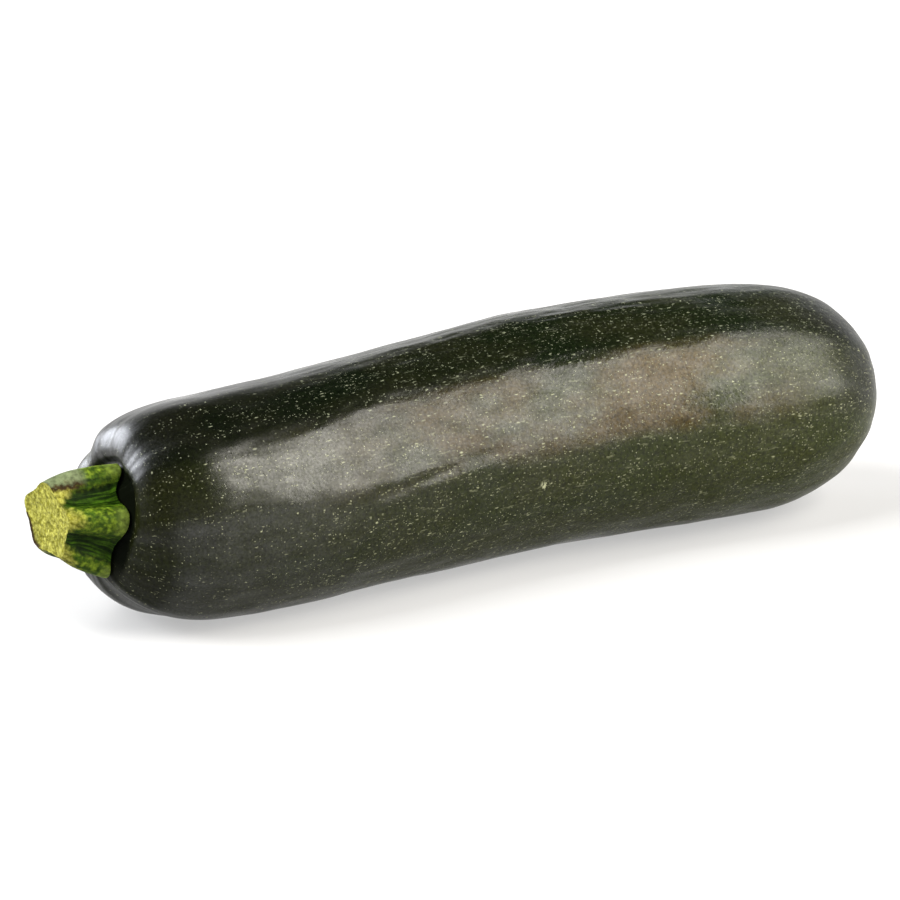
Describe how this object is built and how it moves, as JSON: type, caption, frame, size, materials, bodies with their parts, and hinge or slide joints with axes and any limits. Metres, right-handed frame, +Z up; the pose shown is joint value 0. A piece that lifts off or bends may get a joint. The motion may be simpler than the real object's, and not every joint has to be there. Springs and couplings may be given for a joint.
{
  "type": "courgette",
  "caption": "Whole dark green courgette with a trimmed, ridged stub of stalk at one end and a blossom scar at the other, lying on its side.",
  "frame": {"origin": "bottom centre of the bounding box, on the surface that it rests on", "axes": "+X along the length from the stalk towards the blossom end, +Z up"},
  "size_m": [0.195, 0.0536, 0.0505],
  "materials": {
    "skin": "waxy, speckled dark green skin",
    "stalk": "fibrous pale green stalk with a dry cut face"
  },
  "bodies": {
    "root": {"fruit": "skin", "stem": "stalk"}
  },
  "joints": []
}
